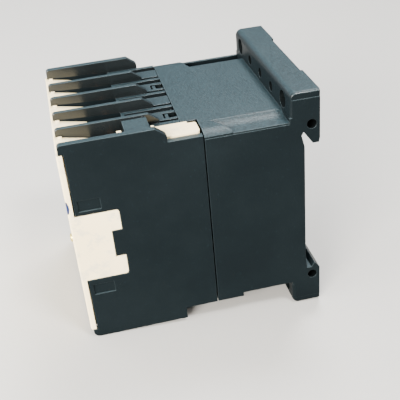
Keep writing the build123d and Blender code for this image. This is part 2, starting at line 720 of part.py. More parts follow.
# Moving bridges with their tips and contact springs
for k, x in enumerate(contact_x):
    bridge = block(x - bridge_half_x, x + bridge_half_x, bridge_y, bridge_y + bridge_t, mid_z - bridge_half_z, mid_z + bridge_half_z)
    bridge = fillet(bridge.edges().filter_by(Axis.Y), 1.0)
    bridge += rod_y(spring_r - 0.5, x, mid_z, bridge_y - 0.7, bridge_y)
    save(bridge, "bridge_" + str(k + 1))
    tip = rod_y(tip_r, x, mid_z + tip_z, bridge_y + bridge_t, bridge_y + bridge_t + tip_t)
    save(Compound([tip, flip(tip)]), "bridge_tips_" + str(k + 1))
    spring = coil_spring(spring_r, 0.22, 3.5, bridge_y - window_y0)
    save(Pos(x, window_y0, mid_z) * Rot(-90, 0, 0) * spring, "contact_spring_" + str(k + 1))

back_spring_r = 1.9
back_wire_r = 0.25
back_spring = coil_spring(back_spring_r, back_wire_r, 5, bobbin_y - tail_y1)
springs = []
for s in (-1, 1):
    springs += [Pos(s * spring_x, tail_y1, mid_z) * Rot(-90, 0, 0) * back_spring]
save(Compound(springs), "return_springs")

# Rail latch: sliding tongue with wings, a ramped nose and a pocket for its spring
nose_z = lip_z + 2.6
pocket_half = post_half + gap
pocket_y = latch_face_y + 2.2
pocket_low = post_z - gap
pocket_top = lip_z - 2.0
latch_profile = [
    (latch_face_y, 0.4),
    (latch_face_y, lip_z - 0.7),
    (hook_tip_y - 0.6, lip_z),
    (hook_tip_y - 0.6, nose_z),
    (hook_tip_y + 0.1, nose_z),
    (latch_back_y, nose_z - 2.4),
    (latch_back_y, 0.4),
]
latch = prism_x(latch_profile, -latch_half, latch_half)
latch += block(-latch_half - latch_wing, latch_half + latch_wing, groove_y, groove_y + groove_t, 2.8, wing_z)
latch -= block(-pocket_half, pocket_half, latch_face_y - past, pocket_y, pocket_low, pocket_top)
latch -= block(-3.5, 3.5, latch_back_y - 1.0, depth, -past, 2.2)
save(latch, "rail_latch")
latch_spring_r = 0.7
latch_coil = coil_spring(latch_spring_r, 0.18, 5, pocket_top - post_z - post_t)
save(Pos(0, latch_face_y + 1.05, post_z + post_t) * latch_coil, "latch_spring")
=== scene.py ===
import json
import math
import bmesh
import bpy
from mathutils import Matrix, Vector

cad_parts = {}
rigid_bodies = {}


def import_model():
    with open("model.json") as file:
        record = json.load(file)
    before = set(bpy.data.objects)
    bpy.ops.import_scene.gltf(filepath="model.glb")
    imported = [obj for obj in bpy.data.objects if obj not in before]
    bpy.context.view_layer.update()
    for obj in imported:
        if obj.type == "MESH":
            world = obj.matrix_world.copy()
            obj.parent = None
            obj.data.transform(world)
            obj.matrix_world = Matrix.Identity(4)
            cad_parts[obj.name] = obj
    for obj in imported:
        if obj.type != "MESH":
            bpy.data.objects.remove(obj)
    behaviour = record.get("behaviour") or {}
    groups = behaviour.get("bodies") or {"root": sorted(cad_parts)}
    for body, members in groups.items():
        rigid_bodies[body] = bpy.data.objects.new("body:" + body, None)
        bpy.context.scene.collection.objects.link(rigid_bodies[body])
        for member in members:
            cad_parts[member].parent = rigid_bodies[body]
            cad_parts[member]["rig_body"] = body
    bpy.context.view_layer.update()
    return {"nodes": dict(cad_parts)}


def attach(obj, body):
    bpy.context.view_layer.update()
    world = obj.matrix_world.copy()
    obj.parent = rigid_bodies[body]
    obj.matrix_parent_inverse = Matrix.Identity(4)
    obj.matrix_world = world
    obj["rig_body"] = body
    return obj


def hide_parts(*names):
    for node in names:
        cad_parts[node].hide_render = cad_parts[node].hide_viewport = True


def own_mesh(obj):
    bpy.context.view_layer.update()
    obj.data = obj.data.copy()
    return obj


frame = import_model()
nodes = frame["nodes"]
mm = 0.001
print("stage: frame loaded,", len(nodes), "nodes")

# Sizes that several pieces share, in millimetres: x from the middle, z from the underside
body = {
    "pitch": 8.6,  # from one terminal column to the next
    "columns": 5,
    "poles": 4,
    "midZ": 29.0,  # half the height, between the two rows of terminals
    "rowRise": 16.77,  # from there to a row of screws
    "frontY": -28.7,  # the front face, from which the depths of screws, washers and springs count
}
columnX = [(k - (body["columns"] - 1) / 2) * body["pitch"] for k in range(body["columns"])]


def linked(name, data):
    item = bpy.data.objects.new(name, data)
    bpy.context.scene.collection.objects.link(item)
    return item


# Material helpers
def startMaterial(name):
    material = bpy.data.materials.new(name)
    material.use_nodes = True
    tree = material.node_tree
    shader = tree.nodes["Principled BSDF"]
    place = tree.nodes.new("ShaderNodeTexCoord")
    return material, tree, shader, place.outputs["Object"]


def stretched(tree, where, scale):
    mapping = tree.nodes.new("ShaderNodeMapping")
    mapping.inputs["Scale"].default_value = scale
    tree.links.new(where, mapping.inputs["Vector"])
    return mapping.outputs["Vector"]


def noiseOf(tree, where, scale, detail, roughness):
    noise = tree.nodes.new("ShaderNodeTexNoise")
    noise.inputs["Scale"].default_value = scale
    noise.inputs["Detail"].default_value = detail
    noise.inputs["Roughness"].default_value = roughness
    tree.links.new(where, noise.inputs["Vector"])
    return noise.outputs["Fac"]


def spread(tree, value, fromRange, toRange=(0.0, 1.0)):
    node = tree.nodes.new("ShaderNodeMapRange")
    node.inputs["From Min"].default_value = fromRange[0]
    node.inputs["From Max"].default_value = fromRange[1]
    node.inputs["To Min"].default_value = toRange[0]
    node.inputs["To Max"].default_value = toRange[1]
    tree.links.new(value, node.inputs["Value"])
    return node.outputs["Result"]


def patches(tree, where, scale, layer, toRange):
    return spread(tree, noiseOf(tree, where, scale, *layer["noise"]), layer["range"], toRange)


def worked(tree, operation, *values):
    # A math node, for shader trees and geometry trees alike
    node = tree.nodes.new("ShaderNodeMath")
    node.operation = operation
    for socket, value in zip(node.inputs, values):
        if isinstance(value, float):
            socket.default_value = value
        else:
            tree.links.new(value, socket)
    return node.outputs["Value"]


def mixed(tree, factor, first, second):
    node = tree.nodes.new("ShaderNodeMix")
    node.data_type = "RGBA"
    tree.links.new(factor, node.inputs["Factor"])
    # The colour mix has its two colours at sockets 6 and 7 and its result at socket 2
    for socket, value in ((node.inputs[6], first), (node.inputs[7], second)):
        if isinstance(value, (tuple, list)):
            socket.default_value = (*value, 1.0)
        else:
            tree.links.new(value, socket)
    return node.outputs[2]


def bumped(tree, shader, height, strength, distance, under=None):
    node = tree.nodes.new("ShaderNodeBump")
    node.inputs["Strength"].default_value = strength
    node.inputs["Distance"].default_value = distance
    tree.links.new(height, node.inputs["Height"])
    if under is not None:
        tree.links.new(under, node.inputs["Normal"])
    tree.links.new(node.outputs["Normal"], shader.inputs["Normal"])
    return node.outputs["Normal"]


def facing(tree):
    return tree.nodes.new("ShaderNodeNewGeometry").outputs["Normal"]


def heightOf(tree, direction):
    # 1 for a direction straight up, 0 for a level one
    split = tree.nodes.new("ShaderNodeSeparateXYZ")
    tree.links.new(direction, split.inputs["Vector"])
    return split.outputs["Z"]


# Layers of all moulded plastics: each noise's detail and roughness, and the range used of it
plasticLayers = {
    "grain": {"noise": (3.0, 0.6)},
    "fineGrain": {"noise": (1.0, 0.5), "ratio": 3.1, "strength": 0.6, "depth": 0.5},
    "cloud": {"noise": (4.0, 0.62), "range": (0.35, 0.68), "roughnessRange": (0.3, 0.7)},
    "speck": {"noise": (2.0, 0.7), "range": (0.66, 0.72)},
    "smudge": {"noise": (5.0, 0.66), "range": (0.53, 0.62), "scale": 210.0},
    "drift": {"noise": (5.0, 0.7), "range": (0.3, 0.75), "ratio": 2.3, "share": (0.82, 1.0)},
    "sparkle": {"noise": (2.0, 0.75), "range": (0.38, 0.62), "share": (0.50, 1.50)},
}
# Where the layers show, by how far a face looks up, how open it is and how much its edge bends
plasticMasks = {
    "dustAndSheenFacing": (0.55, 0.98), "glossFacing": (0.3, 0.9), "topEdge": (0.05, 0.55),
    "topEdgeShare": (0.22, 1.0), "openEdge": (0.55, 0.80), "hollow": (0.12, 0.62),
    "hollowSamples": 8, "bend": (0.78, 0.97), "bendSamples": 6,
}


def openness(tree, reach):
    # 0 deep in a hole, about half in a corner, 1 on an open face
    hollow = tree.nodes.new("ShaderNodeAmbientOcclusion")
    hollow.samples = plasticMasks["hollowSamples"]
    hollow.inputs["Distance"].default_value = reach
    return hollow.outputs["AO"]


def roundedNormal(tree, radius):
    node = tree.nodes.new("ShaderNodeBevel")
    node.samples = plasticMasks["bendSamples"]
    node.inputs["Radius"].default_value = radius
    return node.outputs["Normal"]


def edgeRub(tree, rounded):
    # 1 along the edges, 0 on the flat faces
    dot = tree.nodes.new("ShaderNodeVectorMath")
    dot.operation = "DOT_PRODUCT"
    tree.links.new(rounded, dot.inputs[0])
    tree.links.new(facing(tree), dot.inputs[1])
    return spread(tree, dot.outputs["Value"], plasticMasks["bend"], (1.0, 0.0))


def mouldedPlastic(name, look):
    material, tree, shader, where = startMaterial(name)
    layers, masks = plasticLayers, plasticMasks
    fine, drift, sparkle = layers["fineGrain"], layers["drift"], layers["sparkle"]
    grain = noiseOf(tree, where, look["grainScale"], *layers["grain"]["noise"])
    fineGrain = noiseOf(tree, where, look["grainScale"] * fine["ratio"], *fine["noise"])
    cloud = noiseOf(tree, where, look["cloudScale"], *layers["cloud"]["noise"])
    clouds = spread(tree, cloud, layers["cloud"]["range"])
    tone = mixed(tree, clouds, look["colour"], look["colourTwo"])
    specks = patches(tree, where, look["speckScale"], layers["speck"], (0.0, look["speck"]))
    tone = mixed(tree, specks, tone, look["dustAndSheenColour"])
    smudge = layers["smudge"]
    smudges = patches(tree, where, smudge["scale"], smudge, (0.0, look.get("smudge", 0.0)))
    tone = mixed(tree, smudges, tone, look["dustAndSheenColour"])

    # Dust and painted sheen: faces that look up are painted paler, in drifts of fine bright grains
    dustAndSheen = spread(tree, heightOf(tree, facing(tree)), masks["dustAndSheenFacing"], (0.0, look["dustAndSheen"]))
    drifts = patches(tree, where, look["cloudScale"] * drift["ratio"], drift, drift["share"])
    grains = patches(tree, where, look["sparkleScale"], sparkle, sparkle["share"])
    dustAndSheen = worked(tree, "MULTIPLY", worked(tree, "MULTIPLY", dustAndSheen, drifts), grains)
    tone = mixed(tree, dustAndSheen, tone, look["dustAndSheenColour"])

    # Painted highlight: outer edges are painted paler, most of all on the top; painted shade: hollows
    # are painted darker
    rounded = roundedNormal(tree, look["edgeRadius"])
    reached = openness(tree, look["hollowReach"])
    edgeHighlight = worked(tree, "MULTIPLY", edgeRub(tree, rounded), spread(tree, reached, masks["openEdge"]))
    onTop = spread(tree, heightOf(tree, rounded), masks["topEdge"], masks["topEdgeShare"])
    edgeHighlight = worked(tree, "MULTIPLY", worked(tree, "MULTIPLY", edgeHighlight, onTop), look["edgeHighlight"])
    tone = mixed(tree, edgeHighlight, tone, look["edgeHighlightColour"])
    # Painted shade: the hollow colour darkens the hollows and corners
    tone = mixed(tree, spread(tree, reached, masks["hollow"]), look["hollowShadeColour"], tone)
    tree.links.new(tone, shader.inputs["Base Color"])

    roughness = spread(tree, cloud, layers["cloud"]["roughnessRange"], look["roughness"])
    tree.links.new(roughness, shader.inputs["Roughness"])
    if isinstance(look["specular"], tuple):  # on the sides and on the top
        gloss = spread(tree, heightOf(tree, facing(tree)), masks["glossFacing"], look["specular"])
        tree.links.new(gloss, shader.inputs["Specular IOR Level"])
    else:
        shader.inputs["Specular IOR Level"].default_value = look["specular"]
    strength, depth = look["grainStrength"], look["grainDepth"]
    coarse = bumped(tree, shader, grain, strength, depth, rounded)
    bumped(tree, shader, fineGrain, strength * fine["strength"], depth * fine["depth"], coarse)
    return material


# Layers of all metals
metalLayers = {
    "scratch": {"noise": (3.0, 0.65), "range": (0.3, 0.7), "reach": 0.00002},
    "cloud": {"noise": (4.0, 0.6), "range": (0.35, 0.7)},
}


def workedMetal(name, look):
    material, tree, shader, where = startMaterial(name)
    scratchLayer = metalLayers["scratch"]
    along = stretched(tree, where, look["stretch"])
    scratch = noiseOf(tree, along, look["scratchScale"], *scratchLayer["noise"])
    cloud = patches(tree, where, look["cloudScale"], metalLayers["cloud"], (0.0, 1.0))
    tree.links.new(mixed(tree, cloud, look["colour"], look["tarnish"]), shader.inputs["Base Color"])
    shader.inputs["Metallic"].default_value = 1.0
    roughness = spread(tree, scratch, scratchLayer["range"], look["roughness"])
    tree.links.new(roughness, shader.inputs["Roughness"])
    bumped(tree, shader, scratch, look["depth"], scratchLayer["reach"])
    return material


# Layers of what has fine parallel grooves: stacked sheets and wound wire
bandLayers = {
    "groove": {"detail": 1.0, "range": (0.0, 0.45), "reach": 0.00015},
    "cloud": {
        "noise": (3.0, 0.5), "range": (0.4, 0.75), "share": (0.0, 0.5), "roughnessRange": (0.3, 0.7),
    },
}


def bandedSurface(name, look):
    material, tree, shader, where = startMaterial(name)
    groove, cloudLayer = bandLayers["groove"], bandLayers["cloud"]
    wave = tree.nodes.new("ShaderNodeTexWave")
    wave.bands_direction = look["along"]
    wave.inputs["Scale"].default_value = look["bandScale"]
    wave.inputs["Distortion"].default_value = look["waver"]
    wave.inputs["Detail"].default_value = groove["detail"]
    tree.links.new(where, wave.inputs["Vector"])
    cloud = noiseOf(tree, where, look["cloudScale"], *cloudLayer["noise"])
    grooves = spread(tree, wave.outputs["Fac"], groove["range"], (1.0, 0.0))
    tone = mixed(tree, grooves, look["colour"], look["grooveColour"])
    stains = spread(tree, cloud, cloudLayer["range"], cloudLayer["share"])
    tree.links.new(mixed(tree, stains, tone, look["stain"]), shader.inputs["Base Color"])
    shader.inputs["Metallic"].default_value = look["metallic"]
    roughness = spread(tree, cloud, cloudLayer["roughnessRange"], look["roughness"])
    tree.links.new(roughness, shader.inputs["Roughness"])
    bumped(tree, shader, wave.outputs["Fac"], look["depth"], groove["reach"])
    return material


# Looks of the finishes: scales are per metre, and depths, reaches and radii in metres
# Dust colours go into specks, smudges and the up-facing layer of dust and painted sheen; edge colours
# are a painted highlight and hollow colours painted shade. The looks for edges are paler copies, a
# painted edge highlight, and the look for holes is a darker copy, painted shade
plasticLooks = {
    "slatePlastic": {
        "colour": (0.0034, 0.0054, 0.0065), "colourTwo": (0.0045, 0.0071, 0.0084),
        "dustAndSheenColour": (0.060, 0.113, 0.138), "dustAndSheen": 0.20, "speck": 0.04, "speckScale": 1500.0,
        "grainScale": 2300.0, "cloudScale": 55.0, "grainStrength": 0.80, "grainDepth": 0.00010,
        "roughness": (0.36, 0.42), "specular": (0.025, 0.13), "sparkleScale": 2300.0,
        "hollowReach": 0.0026, "hollowShadeColour": (0.0012, 0.0018, 0.0020), "edgeRadius": 0.00028,
        "edgeHighlight": 0.42, "edgeHighlightColour": (0.110, 0.145, 0.160),
    },
    "slateEdge": {
        "colour": (0.010, 0.016, 0.019), "colourTwo": (0.018, 0.028, 0.032),
        "dustAndSheenColour": (0.12, 0.170, 0.190), "dustAndSheen": 0.30, "speck": 0.10, "speckScale": 1200.0,
        "grainScale": 2300.0, "cloudScale": 300.0, "grainStrength": 0.30, "grainDepth": 0.00004,
        "roughness": (0.26, 0.36), "specular": (0.16, 0.45), "sparkleScale": 2400.0,
        "hollowReach": 0.0012, "hollowShadeColour": (0.0015, 0.0022, 0.0025), "edgeRadius": 0.00028,
        "edgeHighlight": 0.45, "edgeHighlightColour": (0.110, 0.145, 0.160),
    },
    "slateFin": {
        "colour": (0.0045, 0.0060, 0.0066), "colourTwo": (0.0060, 0.0078, 0.0086),
        "dustAndSheenColour": (0.060, 0.113, 0.138), "dustAndSheen": 0.18, "speck": 0.02, "speckScale": 1500.0,
        "grainScale": 2300.0, "cloudScale": 90.0, "grainStrength": 0.25, "grainDepth": 0.00004,
        "roughness": (0.20, 0.28), "specular": 0.5, "sparkleScale": 2300.0, "hollowReach": 0.0016,
        "hollowShadeColour": (0.0018, 0.0026, 0.0029), "edgeRadius": 0.00022, "edgeHighlight": 0.42,
        "edgeHighlightColour": (0.110, 0.145, 0.160),
    },
    "slateHollow": {
        "colour": (0.0014, 0.0021, 0.0024), "colourTwo": (0.0020, 0.0030, 0.0034),
        "dustAndSheenColour": (0.02, 0.03, 0.035), "dustAndSheen": 0.04, "speck": 0.02, "speckScale": 1500.0,
        "grainScale": 2300.0, "cloudScale": 90.0, "grainStrength": 0.30, "grainDepth": 0.00004,
        "roughness": (0.55, 0.70), "specular": 0.03, "sparkleScale": 2400.0, "hollowReach": 0.0030,
        "hollowShadeColour": (0.0008, 0.0011, 0.0012), "edgeRadius": 0.00010, "edgeHighlight": 0.0,
        "edgeHighlightColour": (0.02, 0.03, 0.035),
    },
    "ivoryPlastic": {
        "colour": (0.85, 0.715, 0.43), "colourTwo": (0.82, 0.68, 0.39),
        "dustAndSheenColour": (0.45, 0.42, 0.36), "dustAndSheen": 0.04, "speck": 0.08, "speckScale": 1100.0,
        "grainScale": 2600.0, "cloudScale": 70.0, "smudge": 0.45, "grainStrength": 0.40,
        "grainDepth": 0.00005, "roughness": (0.40, 0.52), "specular": 0.5, "sparkleScale": 2400.0,
        "hollowReach": 0.0008, "hollowShadeColour": (0.50, 0.42, 0.28), "edgeRadius": 0.00020,
        "edgeHighlight": 0.30, "edgeHighlightColour": (0.94, 0.84, 0.60),
    },
    "ivoryEdge": {
        "colour": (0.86, 0.74, 0.48), "colourTwo": (0.80, 0.67, 0.41),
        "dustAndSheenColour": (0.45, 0.42, 0.36), "dustAndSheen": 0.03, "speck": 0.08, "speckScale": 1300.0,
        "grainScale": 2600.0, "cloudScale": 300.0, "grainStrength": 0.20, "grainDepth": 0.00004,
        "roughness": (0.34, 0.46), "specular": 0.5, "sparkleScale": 2400.0, "hollowReach": 0.0006,
        "hollowShadeColour": (0.55, 0.47, 0.32), "edgeRadius": 0.00020, "edgeHighlight": 0.30,
        "edgeHighlightColour": (0.94, 0.84, 0.60),
    },
    "naturalNylon": {
        "colour": (0.62, 0.58, 0.46), "colourTwo": (0.55, 0.50, 0.38),
        "dustAndSheenColour": (0.35, 0.32, 0.27), "dustAndSheen": 0.03, "speck": 0.10, "speckScale": 800.0,
        "grainScale": 1900.0, "cloudScale": 110.0, "grainStrength": 0.45, "grainDepth": 0.00006,
        "roughness": (0.38, 0.55), "specular": 0.5, "sparkleScale": 2400.0, "hollowReach": 0.0015,
        "hollowShadeColour": (0.16, 0.14, 0.10), "edgeRadius": 0.00015, "edgeHighlight": 0.05,
        "edgeHighlightColour": (0.30, 0.30, 0.30),
    },
    "blackNylon": {
        "colour": (0.0050, 0.0050, 0.0056), "colourTwo": (0.0085, 0.0085, 0.0092),
        "dustAndSheenColour": (0.12, 0.12, 0.12), "dustAndSheen": 0.05, "speck": 0.06, "speckScale": 800.0,
        "grainScale": 1900.0, "cloudScale": 110.0, "grainStrength": 0.50, "grainDepth": 0.00006,
        "roughness": (0.40, 0.58), "specular": 0.2, "sparkleScale": 2400.0, "hollowReach": 0.0015,
        "hollowShadeColour": (0.003, 0.003, 0.003), "edgeRadius": 0.00020, "edgeHighlight": 0.15,
        "edgeHighlightColour": (0.12, 0.12, 0.12),
    },
    "blueLens": {
        "colour": (0.003, 0.010, 0.055), "colourTwo": (0.004, 0.014, 0.070),
        "dustAndSheenColour": (0.25, 0.28, 0.35), "dustAndSheen": 0.02, "speck": 0.06, "speckScale": 1500.0,
        "grainScale": 3500.0, "cloudScale": 260.0, "grainStrength": 0.12, "grainDepth": 0.00003,
        "roughness": (0.20, 0.30), "specular": 0.35, "sparkleScale": 2400.0, "hollowReach": 0.0008,
        "hollowShadeColour": (0.004, 0.010, 0.05), "edgeRadius": 0.00015, "edgeHighlight": 0.05,
        "edgeHighlightColour": (0.30, 0.30, 0.30),
    },
    "blackRubber": {
        "colour": (0.015, 0.015, 0.015), "colourTwo": (0.028, 0.028, 0.027),
        "dustAndSheenColour": (0.2, 0.2, 0.2), "dustAndSheen": 0.06, "speck": 0.10, "speckScale": 900.0,
        "grainScale": 1500.0, "cloudScale": 150.0, "grainStrength": 0.5, "grainDepth": 0.00006,
        "roughness": (0.72, 0.88), "specular": 0.35, "sparkleScale": 2400.0, "hollowReach": 0.0010,
        "hollowShadeColour": (0.004, 0.004, 0.004), "edgeRadius": 0.00015, "edgeHighlight": 0.05,
        "edgeHighlightColour": (0.30, 0.30, 0.30),
    },
}
metalLooks = {
    "zincPlate": {
        "colour": (0.60, 0.60, 0.585), "tarnish": (0.43, 0.42, 0.38), "stretch": (1.0, 0.15, 1.0),
        "scratchScale": 3200.0, "cloudScale": 260.0, "roughness": (0.24, 0.42), "depth": 0.35,
    },
    "copperStrip": {
        "colour": (0.78, 0.46, 0.27), "tarnish": (0.55, 0.33, 0.20), "stretch": (1.0, 1.0, 0.12),
        "scratchScale": 2600.0, "cloudScale": 220.0, "roughness": (0.26, 0.44), "depth": 0.30,
    },
    "silverTip": {
        "colour": (0.80, 0.79, 0.76), "tarnish": (0.56, 0.54, 0.50), "stretch": (1.0, 1.0, 1.0),
        "scratchScale": 3000.0, "cloudScale": 500.0, "roughness": (0.28, 0.46), "depth": 0.30,
    },
    "turnedBrass": {
        "colour": (0.78, 0.62, 0.16), "tarnish": (0.60, 0.46, 0.12), "stretch": (1.0, 0.2, 1.0),
        "scratchScale": 3200.0, "cloudScale": 400.0, "roughness": (0.22, 0.38), "depth": 0.30,
    },
    "springWire": {
        "colour": (0.50, 0.50, 0.50), "tarnish": (0.36, 0.35, 0.34), "stretch": (1.0, 1.0, 1.0),
        "scratchScale": 4200.0, "cloudScale": 500.0, "roughness": (0.22, 0.36), "depth": 0.20,
    },
}
bandLooks = {
    "laminatedSteel": {
        "along": "X", "bandScale": 310.0, "waver": 0.0, "colour": (0.36, 0.365, 0.37),
        "grooveColour": (0.10, 0.10, 0.10), "stain": (0.24, 0.20, 0.16), "metallic": 0.9,
        "roughness": (0.30, 0.48), "depth": 0.6, "cloudScale": 160.0,
    },
    "woundWire": {
        "along": "Y", "bandScale": 800.0, "waver": 0.3, "colour": (0.55, 0.24, 0.09),
        "grooveColour": (0.12, 0.045, 0.02), "stain": (0.38, 0.16, 0.06), "metallic": 0.55,
        "roughness": (0.22, 0.38), "depth": 0.8, "cloudScale": 220.0,
    },
}
finish = {}
for name, look in plasticLooks.items():
    finish[name] = mouldedPlastic(name, look)
for name, look in metalLooks.items():
    finish[name] = workedMetal(name, look)
for name, look in bandLooks.items():
    finish[name] = bandedSurface(name, look)
print("stage: materials", len(finish))


# Mesh helpers: welds in millimetres, angles in degrees
meshCare = {
    "solidWeld": 0.002, "flatAngle": 0.6, "roundAngle": 35, "roundSegments": 2, "faceWeight": 100,
    "grownWeld": 0.0005, "creaseAngle": 32,
}


def bodyOf(nodeName):
    return nodes[nodeName]["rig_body"]


def painted(mesh, materials):
    mesh.materials.clear()
    for material in materials:
        mesh.materials.append(finish[material])


def newPiece(name, mesh, materials):
    piece = linked(name, mesh)
    painted(mesh, materials)
    return piece


def evaluatedMesh(item):
    bpy.context.view_layer.update()
    evaluated = item.evaluated_get(bpy.context.evaluated_depsgraph_get())
    return bpy.data.meshes.new_from_object(evaluated)


def sharpened(mesh):
    # Smooth faces with sharp edges where they bend
    working = bmesh.new()
    working.from_mesh(mesh)
    limit = math.radians(meshCare["creaseAngle"])
    for edge in working.edges:
        bent = len(edge.link_faces) == 2 and edge.calc_face_angle(0.0) > limit
        edge.smooth = not bent
    for face in working.faces:
        face.smooth = True
    working.to_mesh(mesh)
    working.free()


def mergedCopy(nodeName):
    # The node's solid with its flat faces made whole again
    mesh = nodes[nodeName].data.copy()
    working = bmesh.new()
    working.from_mesh(mesh)
    bmesh.ops.remove_doubles(working, verts=working.verts, dist=meshCare["solidWeld"] * mm)
    limit = math.radians(meshCare["flatAngle"])
    bmesh.ops.dissolve_limit(working, angle_limit=limit, verts=working.verts, edges=working.edges)
    bmesh.ops.connect_verts_concave(working, faces=working.faces)
    working.to_mesh(mesh)
    working.free()
    mesh.validate()
    return mesh


# Deep holes of the rear base, in millimetres: their walls get the darker hole look, painted shade, free
# of dust
holeLook = {
    "columns": (-2, -1, 0, 1, 2), "step": 8.75, "topZ": 54.0, "frontY": 22.3, "lead": 0.01,
    "depth": 7.1, "half": 2.1, "lengthened": 0.9, "sideX": 20.0, "sideReach": 2.6, "sideY": 27.4,
    "sideHalf": 1.2, "sideZ": (50.0, 8.4), "slack": 0.05, "wallDepth": 0.3,
}


def holeBoxes(look):
    boxes = []
    half, long = look["half"], look["lengthened"]
    front, back = look["frontY"] - look["lead"], look["frontY"] + look["depth"]
    for k in look["columns"]:
        x = k * look["step"]
        for z in (look["topZ"], 2 * body["midZ"] - look["topZ"]):
            boxes.append(((x - half, front, z - half - long), (x + half, back, z + half + long)))
    half, y, reach = look["sideHalf"], look["sideY"], look["sideReach"]
    for z in look["sideZ"]:
        for x in (-look["sideX"], look["sideX"]):
            boxes.append(((x - reach, y - half, z - half), (x + reach, y + half, z + half)))
    return boxes


def darkened(mesh, look, index):
    boxes = holeBoxes(look)
    slack, wall = look["slack"], look["wallDepth"]
    for face in mesh.polygons:
        points = [mesh.vertices[v].co / mm for v in face.vertices]
        isWall = max(p.y for p in points) - min(p.y for p in points) > wall
        for low, high in boxes:
            inside = all(low[k] - slack <= p[k] <= high[k] + slack for p in points for k in range(3))
            if inside and (isWall or face.center[1] / mm > low[1] + wall):
                face.material_index = index


# The rounded edges between the top and the sides get the paler edge look, a painted highlight: limits
# of their normals
highlightedEdge = {"aside": (0.62, 0.96), "up": 0.28, "along": 0.5}


def polished(mesh, look, index):
    low, high = look["aside"]
    for face in mesh.polygons:
        x, y, z = face.normal
        if low < abs(x) < high and z > look["up"] and abs(y) < look["along"]:
            face.material_index = index


# The fins' faces inside the terminal cells are smoother than the outside: limits in millimetres
finLook = {"halfWidth": 22.3, "cellReach": 17.0, "aside": 0.9}


def finned(mesh, look, index):
    for face in mesh.polygons:
        middle = face.center / mm
        inCell = abs(middle.x) < look["halfWidth"] and abs(middle.z - body["midZ"]) > look["cellReach"]
        if inCell and abs(face.normal.x) > look["aside"]:
            face.material_index = index


def softened(nodeName, shell):
    materials = shell["materials"]
    mesh = mergedCopy(nodeName)
    for face in mesh.polygons:
        face.use_smooth = True
    piece = newPiece(shell["name"], mesh, materials)
    rounding = piece.modifiers.new("edgeRound", "BEVEL")
    rounding.width = shell["radius"] * mm
    rounding.segments = meshCare["roundSegments"]
    rounding.limit_method = "ANGLE"
    rounding.angle_limit = math.radians(meshCare["roundAngle"])
    rounding.use_clamp_overlap = True
    rounding.miter_outer = "MITER_ARC"
    # The edge look is a paler copy, a painted highlight on the rounded and bevelled edges
    if len(materials) > 1:  # the second material is the one of the edges
        polished(mesh, highlightedEdge, 1)
        rounding.material = 1
    # Painted shade: the hole walls get the darker hole look
    if "slateHollow" in materials:
        darkened(mesh, holeLook, materials.index("slateHollow"))
    if "slateFin" in materials:
        finned(mesh, finLook, materials.index("slateFin"))
    flattened = piece.modifiers.new("plainFaces", "WEIGHTED_NORMAL")
    flattened.mode = "FACE_AREA"
    flattened.weight = meshCare["faceWeight"]
    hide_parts(nodeName)
    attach(piece, bodyOf(nodeName))
    return piece


# Shells and other moulded pieces: the same solids with a moulding's small edge radii, in millimetres
shells = {
    "rear_base": {
        "name": "rearBaseShell", "materials": ("slatePlastic", "slateEdge", "slateHollow"),
        "radius": 0.18, "slot": "body",
    },
    "front_housing": {
        "name": "finnedHousing", "materials": ("slatePlastic", "slateEdge", "slateFin"),
        "radius": 0.14, "slot": "body",
    },
    "front_cover": {
        "name": "ivoryCover", "materials": ("ivoryPlastic", "ivoryEdge"), "radius": 0.12,
        "slot": "cream",
    },
    "coil_marker": {
        "name": "coilMarkerClip", "materials": ("ivoryPlastic", "ivoryEdge"), "radius": 0.10,
        "slot": "cream",
    },
    "blue_insert": {
        "name": "blueMarkerInsert", "materials": ("blueLens",), "radius": 0.08, "slot": "blue",
    },
    "contact_carrier": {
        "name": "carrierBar", "materials": ("blackNylon",), "radius": 0.15, "slot": "black_plastic",
    },
    "rail_latch": {
        "name": "railLatchSlide", "materials": ("blackNylon",), "radius": 0.12,
        "slot": "black_plastic",
    },
    "coil_bobbin": {
        "name": "bobbinFrame", "materials": ("naturalNylon",), "radius": 0.10,
        "slot": "natural_plastic",
    },
    "indicator_pin": {
        "name": "indicatorTip", "materials": ("turnedBrass",), "radius": 0.10, "slot": "brass",
    },
}
for node, shell in shells.items():
    piece = softened(node, shell)
print("stage: moulded shells", len(shells))

# Finishes of the pieces that keep their own solids
finishOf = {
    "fixed_core": "laminatedSteel", "armature_core": "laminatedSteel", "shading_rings": "copperStrip",
    "core_pads": "blackRubber", "coil_winding": "woundWire", "coil_blade_top": "copperStrip",
    "coil_blade_bottom": "copperStrip", "fixed_tips": "silverTip", "armature_pin": "zincPlate",
}
for k in range(1, body["poles"] + 1):
    finishOf["line_contact_" + str(k)] = "copperStrip"
    finishOf["load_contact_" + str(k)] = "copperStrip"
    finishOf["bridge_" + str(k)] = "copperStrip"
    finishOf["bridge_tips_" + str(k)] = "silverTip"
for node, material in finishOf.items():
    painted(nodes[node].data, [material])
print("stage: inner pieces finished", len(finishOf))


# Geometry Nodes helpers
def newTree(name, inputs):
    tree = bpy.data.node_groups.new(name, "GeometryNodeTree")
    tree.interface.new_socket("Geometry", in_out="OUTPUT", socket_type="NodeSocketGeometry")
    for label, kind in inputs:
        tree.interface.new_socket(label, in_out="INPUT", socket_type="NodeSocket" + kind)
    entry = tree.nodes.new("NodeGroupInput")
    leave = tree.nodes.new("NodeGroupOutput")
    return tree, entry, leave


def finished(tree, entry, leave, geometry):
    # The tree's end: its instances made real, with the finish from its input
    real = tree.nodes.new("GeometryNodeRealizeInstances")
    tree.links.new(geometry, real.inputs["Geometry"])
    setFinish = tree.nodes.new("GeometryNodeSetMaterial")
    tree.links.new(real.outputs["Geometry"], setFinish.inputs["Geometry"])
    tree.links.new(entry.outputs["Finish"], setFinish.inputs["Material"])
    tree.links.new(setFinish.outputs["Geometry"], leave.inputs["Geometry"])


